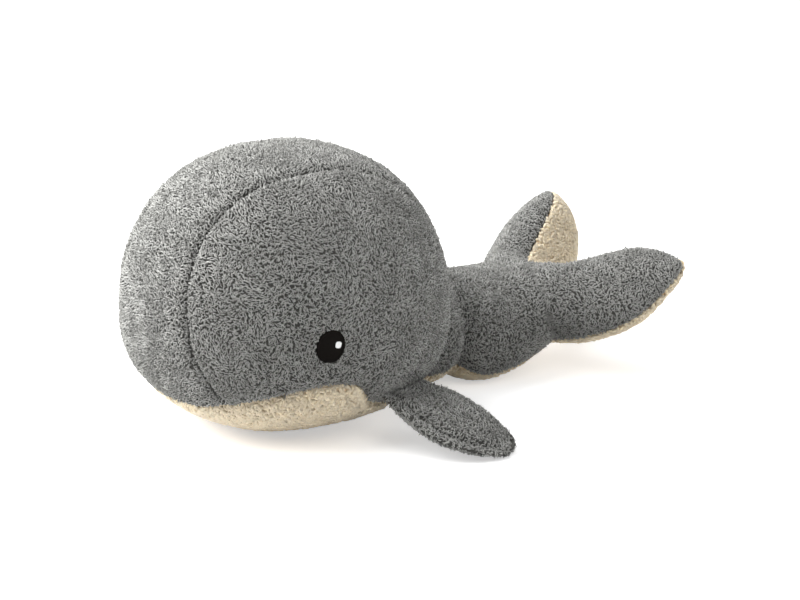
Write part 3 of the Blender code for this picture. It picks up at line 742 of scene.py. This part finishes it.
def sherpa_curls(name, roots, normals, found, material, rng):
    """Tight curls of thick cream yarn that stand up as small bubbles."""
    count = len(roots)
    flow = flow_over(roots, normals, rng, wide=0.02, fine=0.5, loose=1.2)
    aside = np.cross(normals, flow)
    tilt = rng.random((count, 1)) * 0.9 + 0.25
    stand = unit_rows(normals * tilt + aside * (1 - tilt))
    size = CURL_SIZE[0] + CURL_SIZE[1] * rng.random((count, 1))
    start = rng.random((count, 1)) * 0.9 - 0.7
    paths = []
    for step in range(5):
        turn = start + step / 4 * 4.3
        out = -np.cos(turn) * size
        up = np.sin(turn) * size * 0.42 + size * 0.46
        paths.append(roots + flow * out + stand * up + aside * (step - 2) * 0.00035)
    paths = np.stack(paths, axis=1)
    rise = ((paths - roots[:, None]) * normals[:, None]).sum(axis=2)
    radii = CURL_RADIUS[0] + CURL_RADIUS[1] * rng.random((count, 1))
    radii = radii * np.array((0.8, 1.0, 1.1, 1.0, 0.7))
    shade = np.clip(1.0 + 0.04 * rng.normal(size=count), 0.88, 1.08)
    # Painted shade: the low part of each curl takes the painted root shade
    lifts = np.clip(rise / 0.0030 + 0.40, 0.0, 1.0)
    paths[..., 2] = np.maximum(paths[..., 2], 0.0014)
    piece = yarn_mesh(name, paths, radii, 4, shade, lifts)
    piece.data.materials.append(material)
    return piece


def hold(piece, form):
    """The pile goes with the one body that holds its cloth; where more than one holds it, its place is baked
    into its points.
    """
    for part, ends in HELD_BY.items():
        if form.name.startswith(part):
            if len(ends) == 1:
                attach(piece, ends[0])
            else:
                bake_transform(piece)
    return piece


HELD_BY = {}


def make_pile(parts, keep, maker, material, spacing, seed):
    """One piece of pile for each part of a form that the choice keeps."""
    for number, (name, form_name) in enumerate(parts):
        rng = np.random.default_rng(seed + number)
        form = bpy.data.objects[form_name]
        roots, normals, found = roots_on(form, spacing, rng)
        kept = keep(name, roots, found)
        found = {fact: values[kept] for fact, values in found.items()}
        piece = maker(name, roots[kept], normals[kept], found, material, rng)
        hold(piece, form)


# Operators


class WHALE_OT_body(bpy.types.Operator):
    """Cuts, sews and fills the body with its gusset, side and belly panels"""

    bl_idname = "whale.body"
    bl_label = "Body"

    def execute(self, context):
        settings = context.scene.whale_stuffing
        directions, quads = ball_grid(settings.cell)
        whole = body_skin(directions)
        gusset, belly = seam_lines()
        to_gusset, to_belly = distance_to(whole, gusset), distance_to(whole, belly)
        under = directions[:, 2] < -BELLY_LEVEL
        points = body_skin(directions, settings.inset, 0.0014)
        seam = np.where(under, to_belly, np.minimum(to_gusset, to_belly))
        held = np.exp(-((seam / 0.005) ** 2))
        held = np.maximum(held, soft_step((0.006 - points[:, 2]) / 0.004))
        points = inflated("body_cloth", points, quads, held)
        facts = {
            "cream_line": np.where(under, -to_belly, to_belly),
            "gusset_line": np.where(np.abs(directions[:, 0]) < GUSSET_SHARE, -to_gusset, to_gusset),
            "seam": seam,
        }
        points, quads, facts = subdivided(points, quads, facts)
        facts["seam"] = nearest_seam(facts)
        points = with_valleys(points, quads, facts["seam"], settings)
        points = on_floor(points, LOWEST_CLOTH)
        back = points[:, 1] - MIDDLE.y + EYE_FORWARD - 0.0014
        up = points[:, 2] - DROP - EYE_UP
        lean_back = back * cos(EYE_LEAN) - up * sin(EYE_LEAN)
        lean_up = back * sin(EYE_LEAN) + up * cos(EYE_LEAN)
        eye = context.scene.whale_eyes
        facts["eye"] = np.hypot(lean_back / (eye.width / 2), lean_up / (eye.height / 2))
        facts["eye"] = np.where(np.abs(points[:, 0]) > 0.08, facts["eye"], FAR_OFF)
        colours = context.scene.whale_pile
        # The cloth under the pile takes the painted shade colours, so the gaps between loops and curls show
        # painted shade
        grounds = [
            ground_material("grey_ground", colours.terry_painted_shade),
            ground_material("cream_ground", colours.sherpa_painted_shade),
        ]
        picks = facts["cream_line"][quads].mean(axis=1) < 0
        form = new_form("body_form", points, quads, facts, grounds, picks)
        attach(form, "body")
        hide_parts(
            "forehead_gusset", "side_panel_left", "side_panel_right", "belly_panel", "body_filling"
        )
        HELD_BY["body_form"] = ("body",)
        return {"FINISHED"}


class WHALE_OT_stalk(bpy.types.Operator):
    """Sews and fills the tail stalk, from inside the body to the flukes"""

    bl_idname = "whale.stalk"
    bl_label = "Tail stalk"

    def execute(self, context):
        settings = context.scene.whale_stuffing
        rings = stalk_rings(7)
        first, last = rings[0] * (1, 1, 1, 0), rings[-1] * (1, 1, 0.6, 0)
        first[0] -= 0.002
        last[0] += 0.011
        last[1] += 0.003
        rings = np.vstack((first, rings, last))
        columns = 33
        row, column, side, quads = pillow_grid(len(rings), columns)
        ring = rings[row]
        past = soft_step((ring[:, 0] - BALL[0] * cos(CLEAR_ANGLE)) / 0.024)
        square = 2.0 + 1.2 * past
        turn = pi / 2 * (column / (columns - 1) * 2 - 1)
        aside = np.sign(np.sin(turn)) * np.abs(np.sin(turn)) ** (2 / square)
        above = np.abs(np.cos(turn)) ** (2 / square) * side
        inset = settings.inset
        x = np.maximum(ring[:, 2] - inset, 0.002) * aside
        z = ring[:, 1] + np.maximum(ring[:, 3] - inset, 0.0) * above
        behind = ring[:, 0] - 0.020
        fold = 0.0035 * np.cos(behind * 2 * pi / 0.026) * np.exp(-((behind - 0.005) / 0.016) ** 2)
        x += fold * aside * np.clip(1.4 - above, 0, 1)
        x += 0.007 * aside * np.exp(-((behind / 0.022) ** 2)) * np.clip(-above, 0, 1)
        points = np.stack((x, ring[:, 0] + TAIL_BALL_BACK, z), -1)
        points, quads = placed(points, quads, Matrix.Translation(MIDDLE))
        from_bottom = np.where(side < 0, np.abs(turn), pi - np.abs(turn))
        from_bottom = np.where(np.abs(side) < 0.5, pi / 2, from_bottom)
        line = (from_bottom - STRIP_TURN) * 0.052
        inside = soft_step((0.150 - ring[:, 0] - TAIL_BALL_BACK) / 0.01)
        held = np.maximum(np.exp(-((line / 0.005) ** 2)), inside)
        points = inflated("stalk_cloth", points, quads, held)
        points, quads, facts = subdivided(points, quads, plain_facts(line, np.abs(line)))
        points = with_valleys(points, quads, facts["seam"], settings)
        points = on_floor(points, LOWEST_CLOTH)
        grounds = [bpy.data.materials["grey_ground"], bpy.data.materials["cream_ground"]]
        picks = facts["cream_line"][quads].mean(axis=1) < 0
        form = new_form("stalk_form", points, quads, facts, grounds, picks)
        hinge = Vector(HINGES["tail_bend"]["pos_m"])
        HELD_BY["stalk_form"] = ("body", "tail", hinge, hinge + Vector((0, 0.040, 0)))
        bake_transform(form)
        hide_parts("tail_top_panel", "tail_belly_strip", "tail_filling")
        return {"FINISHED"}


class WHALE_OT_flukes(bpy.types.Operator):
    """Sews and fills the two flukes, grey above and cream below"""

    bl_idname = "whale.flukes"
    bl_label = "Flukes"

    def execute(self, context):
        settings = context.scene.whale_stuffing
        grounds = [bpy.data.materials["grey_ground"], bpy.data.materials["cream_ground"]]
        for word, side, splay, roll, lift in (
            ("left", 1, radians(46), radians(14), radians(-5)),
            ("right", -1, radians(40), radians(40), 0.0),
        ):
            leaf = dict(
                length=0.1290, root_width=0.0600, root_radius=0.0205, swells=(0.0160, 0.0180),
                tip_shift=side * 0.0330, fatten=0.46, blunt=3.6, flare=0.018 if side > 0 else 0.0,
                under=1.0 if side > 0 else 2.0, wrap=0.013 if side > 0 else 0.0,
            )
            place = fluke_frame(side, splay, roll, lift)
            points, quads, faces, rim, run, _ = sewn_leaf("fluke_cloth", leaf, place, (40, 30), 0.26, 0.0015)
            cream_line = np.where(faces > 0, 1.0, -1.0) * rim + leaf["wrap"] * np.exp(-((run / 0.45) ** 2))
            points, quads, facts = subdivided(points, quads, plain_facts(cream_line, np.abs(cream_line)))
            points = with_valleys(points, quads, facts["seam"] + 0.004, settings)
            picks = facts["cream_line"][quads].mean(axis=1) < 0
            form = new_form("fluke_form_" + word, points, quads, facts, grounds, picks)
            bend = across_hinge(f"fluke_{word}_flap", place, 0.008, 0.022)
            HELD_BY[form.name] = ("tail", "fluke_" + word, *bend)
            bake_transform(form)
            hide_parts("fluke_top_" + word, "fluke_underside_" + word, f"fluke_{word}_filling")
        return {"FINISHED"}


class WHALE_OT_flippers(bpy.types.Operator):
    """Sews and fills the two flippers, grey on both faces"""

    bl_idname = "whale.flippers"
    bl_label = "Flippers"

    def execute(self, context):
        settings = context.scene.whale_stuffing
        for word, side in (("left", 1), ("right", -1)):
            leaf = dict(
                length=0.1080, root_width=0.0600, root_radius=0.0040, swells=(0.0125, 0.0085),
                tip_shift=side * 0.0200, fatten=2.1, blunt=5.5, flare=0.0, under=1.0,
            )
            place = flipper_frame(side)
            points, quads, faces, rim, _, across = sewn_leaf(
                "flipper_cloth", leaf, place, (34, 26), 0.14, 0.0018
            )
            rim = np.abs(rim * np.where(faces < 0, -1, 1) - 0.0100 * soft_step(-across * side * 1.6))
            points, quads, facts = subdivided(points, quads, plain_facts(rim + 0.001, rim))
            points = with_valleys(points, quads, facts["seam"], settings)
            grounds = [bpy.data.materials["grey_ground"]]
            form = new_form("flipper_form_" + word, points, quads, facts, grounds, np.zeros(len(quads)))
            bend = across_hinge(f"flipper_{word}_flap", place, 0.004, 0.014)
            HELD_BY[form.name] = ("body", "flipper_" + word, *bend)
            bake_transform(form)
            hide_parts("flipper_upper_" + word, "flipper_lower_" + word, f"flipper_{word}_filling")
        return {"FINISHED"}


class WHALE_OT_joins(bpy.types.Operator):
    """Lets the forms flow into one another where they are sewn together"""

    bl_idname = "whale.joins"
    bl_label = "Joins"

    def execute(self, context):
        # Two forms, the reach of their join, the height where it starts and the height over which it grows
        pairs = (
            ("body_form", "stalk_form", 0.028, 0.070, 0.025),
            ("stalk_form", "fluke_form_left", 0.034, 0.050, 0.025),
            ("stalk_form", "fluke_form_right", 0.022, 0.045, 0.025),
        )
        names = sorted({name for pair in pairs for name in pair[:2]})
        meshes = {name: bpy.data.objects[name].data for name in names}
        skins, shapes, moves = {}, {}, {}
        for name in names:
            points, quads, _ = form_data(bpy.data.objects[name])
            skins[name] = BVHTree.FromPolygons(points.tolist(), quads.tolist())
            shapes[name] = points, point_normals(points, quads)
            moves[name] = np.zeros(len(points))
        for first, second, reach, low, rise in pairs:
            for name, other in ((first, second), (second, first)):
                points = shapes[name][0]
                gap = np.array([skins[other].find_nearest(Vector(p), reach)[3] or reach for p in points])
                push = np.minimum((reach**0.5 - np.minimum(gap, reach) ** 0.5) ** 2, reach / 4)
                moves[name] = np.maximum(moves[name], push * soft_step((points[:, 2] - low) / rise))
        for name in names:
            points, normals = shapes[name]
            moved = on_floor(points + normals * moves[name][:, None], LOWEST_CLOTH)
            meshes[name].vertices.foreach_set("co", moved.astype(np.float32).ravel())
            meshes[name].update()
        return {"FINISHED"}


class WHALE_OT_terry(bpy.types.Operator):
    """Covers the grey panels with looped terry"""

    bl_idname = "whale.terry"
    bl_label = "Terry pile"

    def execute(self, context):
        pile = context.scene.whale_pile
        material = pile_material("grey_terry_loops", pile.terry, pile.terry_painted_shade, 0.05)

        def keep(name, roots, found):
            kept = (found["cream_line"] > 0.0004) & (found["eye"] > 1.05) & (found["seam"] > 0.0015)
            if name.startswith("gusset"):
                kept &= found["gusset_line"] < 0
            elif name.startswith("side"):
                sign = 1 if name.endswith("left") else -1
                kept &= (found["gusset_line"] >= 0) & (roots[:, 0] * sign > 0)
            elif name.startswith("stalk"):
                kept &= roots[:, 1] > MIDDLE.y + 0.112
            return kept

        parts = [
            ("gusset_terry", "body_form"), ("side_terry_left", "body_form"),
            ("side_terry_right", "body_form"), ("stalk_terry", "stalk_form"),
            ("fluke_terry_left", "fluke_form_left"),
            ("fluke_terry_right", "fluke_form_right"), ("flipper_terry_left", "flipper_form_left"),
            ("flipper_terry_right", "flipper_form_right"),
        ]
        make_pile(parts, keep, terry_loops, material, pile.terry_spacing, pile.seed)
        return {"FINISHED"}


class WHALE_OT_sherpa(bpy.types.Operator):
    """Covers the belly, the tail strip and the flukes' undersides with curly sherpa"""

    bl_idname = "whale.sherpa"
    bl_label = "Sherpa pile"

    def execute(self, context):
        pile = context.scene.whale_pile
        material = pile_material("cream_sherpa_curls", pile.sherpa, pile.sherpa_painted_shade, 0.1, 0.6)

        def keep(name, roots, found):
            kept = found["cream_line"] < -0.0006
            if name.startswith("stalk"):
                kept &= roots[:, 1] > MIDDLE.y + 0.105
            return kept

        parts = [
            ("belly_sherpa", "body_form"), ("stalk_sherpa", "stalk_form"),
            ("fluke_sherpa_left", "fluke_form_left"), ("fluke_sherpa_right", "fluke_form_right"),
        ]
        make_pile(parts, keep, sherpa_curls, material, pile.sherpa_spacing, pile.seed + 50)
        return {"FINISHED"}


def stitched_patch(name, side, width, height, back, up, square, profile, material, skin):
    """A satin-stitched patch laid on the side of the body, with its edge rolled under."""
    rings, sides = len(profile), 96
    points = [(0.0, 0.0, profile[0][1])]
    for share, rise in profile[1:]:
        for k in range(sides):
            turn = 2 * pi * k / sides
            a = np.sign(cos(turn)) * abs(cos(turn)) ** (2 / square) * share * width / 2
            b = np.sign(sin(turn)) * abs(sin(turn)) ** (2 / square) * share * height / 2
            points.append((a, b, rise))
    placed_points = []
    for a, b, rise in points:
        y = MIDDLE.y - EYE_FORWARD + back + a * cos(EYE_LEAN) + b * sin(EYE_LEAN)
        z = DROP + EYE_UP + up - a * sin(EYE_LEAN) + b * cos(EYE_LEAN)
        hit, facing = skin.ray_cast(Vector((side * 0.3, y, z)), Vector((-side, 0, 0)))[:2]
        placed_points.append(hit + facing * rise)
    faces = [(0, 1 + k, 1 + (k + 1) % sides) for k in range(sides)]
    for r in range(rings - 2):
        start = 1 + r * sides
        for k in range(sides):
            m = (k + 1) % sides
            faces.append((start + k, start + sides + k, start + sides + m, start + m))
    if side < 0:
        faces = [face[::-1] for face in faces]
    mesh = bpy.data.meshes.new(name)
    mesh.from_pydata(placed_points, [], faces)
    mesh.shade_smooth()
    mesh.materials.append(material)
    patch = bpy.data.objects.new(name, mesh)
    bpy.context.scene.collection.objects.link(patch)
    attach(patch, "body")
    return patch


class WHALE_OT_eyes(bpy.types.Operator):
    """Embroiders the two eyes with their highlights"""

    bl_idname = "whale.eyes"
    bl_label = "Eyes"

    def execute(self, context):
        eye = context.scene.whale_eyes
        black = thread_material("black_satin_thread", eye.thread, 0.55)
        white = thread_material("white_satin_thread", eye.light, 0.5)
        form = bpy.data.objects["body_form"]
        skin = BVHTree.FromPolygons(
            [v.co for v in form.data.vertices], [tuple(p.vertices) for p in form.data.polygons]
        )
        outer = [(0, 0.0022)] + [(k / 14, 0.0022 - 0.0004 * (k / 14) ** 2) for k in range(1, 13)]
        outer += [(0.88, 0.0019), (0.90, 0.0024), (0.94, 0.0028), (0.98, 0.0026)]
        outer += [(1.01, 0.0018), (1.02, 0.0006), (1.0, -0.0006)]
        inner = [(0, 0.0030), (0.3, 0.0030), (0.6, 0.0029), (0.85, 0.0027), (1.0, 0.0023), (1.04, 0.0018)]
        for side, word in ((1, "left"), (-1, "right")):
            patch = stitched_patch(
                "embroidered_eye_" + word, side, eye.width, eye.height, 0.0014, 0.0004, 2.1, outer, black,
                skin,
            )
            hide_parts("eye_" + word)
            spot = stitched_patch(
                "embroidered_highlight_" + word, side, 0.0053, 0.0056, 0.0077, 0.0012, 3.2, inner, white,
                skin,
            )
            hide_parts("eye_highlight_" + word)
        return {"FINISHED"}


class WHALE_OT_stage(bpy.types.Operator):
    """Sets the camera, the floor and the soft studio light"""

    bl_idname = "whale.stage"
    bl_label = "Stage"

    def execute(self, context):
        scene = context.scene
        scene.view_settings.view_transform = "Standard"
        level = cos(VIEW_RISE)
        towards = Vector((sin(VIEW_TURN) * level, -cos(VIEW_TURN) * level, sin(VIEW_RISE)))
        aim = MIDDLE + Vector((0, 0, DROP))
        lens = bpy.data.cameras.new("camera")
        lens.lens = LENS_MM
        lens.sensor_width = SENSOR_MM
        lens.shift_x, lens.shift_y = (shift / PICTURE_PIXELS for shift in SHIFT_PIXELS)
        camera = bpy.data.objects.new("camera", lens)
        camera.location = aim + towards * VIEW_FAR
        camera.rotation_euler = (-towards).to_track_quat("-Z", "Y").to_euler()
        scene.collection.objects.link(camera)
        scene.camera = camera
        left = Vector((-cos(VIEW_TURN), -sin(VIEW_TURN), 0))
        studio = scene.whale_studio
        stalk = MIDDLE + Vector((0.05, 0.20, 0.06))
        for name, at, way, far, size, power in (
            ("key", aim, left * 0.74 + Vector((0, 0, 0.80)) - towards * 0.05, 1.5, 2.2, studio.key),
            ("side", aim, left * -0.75 + Vector((0, 0, 0.26)) - towards * 0.04, 1.6, 1.4, studio.side),
            ("tail", stalk, Vector((0.42, -0.12, 0.45)), 0.60, 0.4, studio.tail),
        ):
            lamp = bpy.data.lights.new(name, "AREA")
            lamp.shape = "DISK"
            lamp.size = size
            lamp.energy = power
            thing = bpy.data.objects.new(name, lamp)
            way = way.normalized()
            thing.location = at + way * far
            thing.rotation_euler = (-way).to_track_quat("-Z", "Y").to_euler()
            scene.collection.objects.link(thing)
        world = bpy.data.worlds.new("studio")
        world.use_nodes = True
        nodes, links = world.node_tree.nodes, world.node_tree.links
        ground = nodes["Background"]
        path = nodes.new("ShaderNodeLightPath")
        seen = node(nodes, "ShaderNodeMath", operation="MAXIMUM")
        links.new(path.outputs["Is Camera Ray"], seen.inputs[0])
        links.new(path.outputs["Is Glossy Ray"], seen.inputs[1])
        either = node(nodes, "ShaderNodeMath", operation="MAXIMUM")
        links.new(seen.outputs[0], either.inputs[0])
        links.new(path.outputs["Is Transmission Ray"], either.inputs[1])
        strength = ranged(nodes, links, either.outputs[0], studio.fill, 1.0)
        ground.inputs["Color"].default_value = (1, 1, 1, 1)
        links.new(strength, ground.inputs["Strength"])
        scene.world = world
        floor = bpy.data.meshes.new("floor")
        half = 4.0
        corners = [(-half, -half, 0), (half, -half, 0), (half, half, 0), (-half, half, 0)]
        floor.from_pydata(corners, [], [(0, 1, 2, 3)])
        material, nodes, links, shader = new_material("floor_white", 0.9, 0.0, 0.1)
        base = nodes.new("ShaderNodeRGB")
        base.outputs[0].default_value = (0.86, 0.86, 0.86, 1)
        faint = ranged(nodes, links, noise_at(nodes, links, 3.0, 2.0), 0.99, 1.01)
        links.new(scaled_colour(nodes, links, base.outputs[0], faint), shader.inputs["Base Color"])
        path = nodes.new("ShaderNodeLightPath")
        shader.inputs["Emission Color"].default_value = (1, 1, 1, 1)
        place = nodes.new("ShaderNodeTexCoord")
        far = node(nodes, "ShaderNodeVectorMath", operation="LENGTH")
        links.new(place.outputs["Object"], far.inputs[0])
        glow = node(nodes, "ShaderNodeMath", operation="MULTIPLY")
        links.new(path.outputs["Is Camera Ray"], glow.inputs[0])
        links.new(ranged(nodes, links, far.outputs["Value"], 0.48, 1.0, 0.5, 1.6), glow.inputs[1])
        links.new(glow.outputs[0], shader.inputs["Emission Strength"])
        floor.materials.append(material)
        thing = bpy.data.objects.new("floor", floor)
        scene.collection.objects.link(thing)
        return {"FINISHED"}


class WHALE_PT_kit(bpy.types.Panel):
    bl_idname = "WHALE_PT_kit"
    bl_label = "Plush Whale"
    bl_space_type = "VIEW_3D"
    bl_region_type = "UI"
    bl_category = "Whale"

    def draw(self, context):
        layout = self.layout
        for title, group, steps in (
            ("Forms", context.scene.whale_stuffing, FORM_STEPS),
            ("Pile", context.scene.whale_pile, PILE_STEPS),
            ("Eyes", context.scene.whale_eyes, EYE_STEPS),
            ("Studio", context.scene.whale_studio, STAGE_STEPS),
        ):
            box = layout.box()
            box.label(text=title)
            for name in group.__annotations__:
                box.prop(group, name)
            for step in steps:
                box.operator(step)


STAGE_STEPS = ("whale.stage",)
FORM_STEPS = ("whale.body", "whale.stalk", "whale.flukes", "whale.flippers", "whale.joins")
PILE_STEPS = ("whale.terry", "whale.sherpa")
EYE_STEPS = ("whale.eyes",)

SETTINGS = {
    "whale_stuffing": StuffingSettings,
    "whale_pile": PileSettings,
    "whale_eyes": EyeSettings,
    "whale_studio": StudioSettings,
}
CLASSES = (
    *SETTINGS.values(), WHALE_OT_body, WHALE_OT_stalk, WHALE_OT_flukes, WHALE_OT_flippers,
    WHALE_OT_joins, WHALE_OT_terry, WHALE_OT_sherpa, WHALE_OT_eyes, WHALE_OT_stage, WHALE_PT_kit,
)


def register():
    for made in CLASSES:
        bpy.utils.register_class(made)
    for name, group in SETTINGS.items():
        setattr(bpy.types.Scene, name, PointerProperty(type=group))


def unregister():
    for name in SETTINGS:
        delattr(bpy.types.Scene, name)
    for made in reversed(CLASSES):
        bpy.utils.unregister_class(made)


def main():
    register()
    for step in STAGE_STEPS + FORM_STEPS + PILE_STEPS + EYE_STEPS:
        family, action = step.split(".")
        getattr(getattr(bpy.ops, family), action)()


if __name__ == "__main__":
    main()
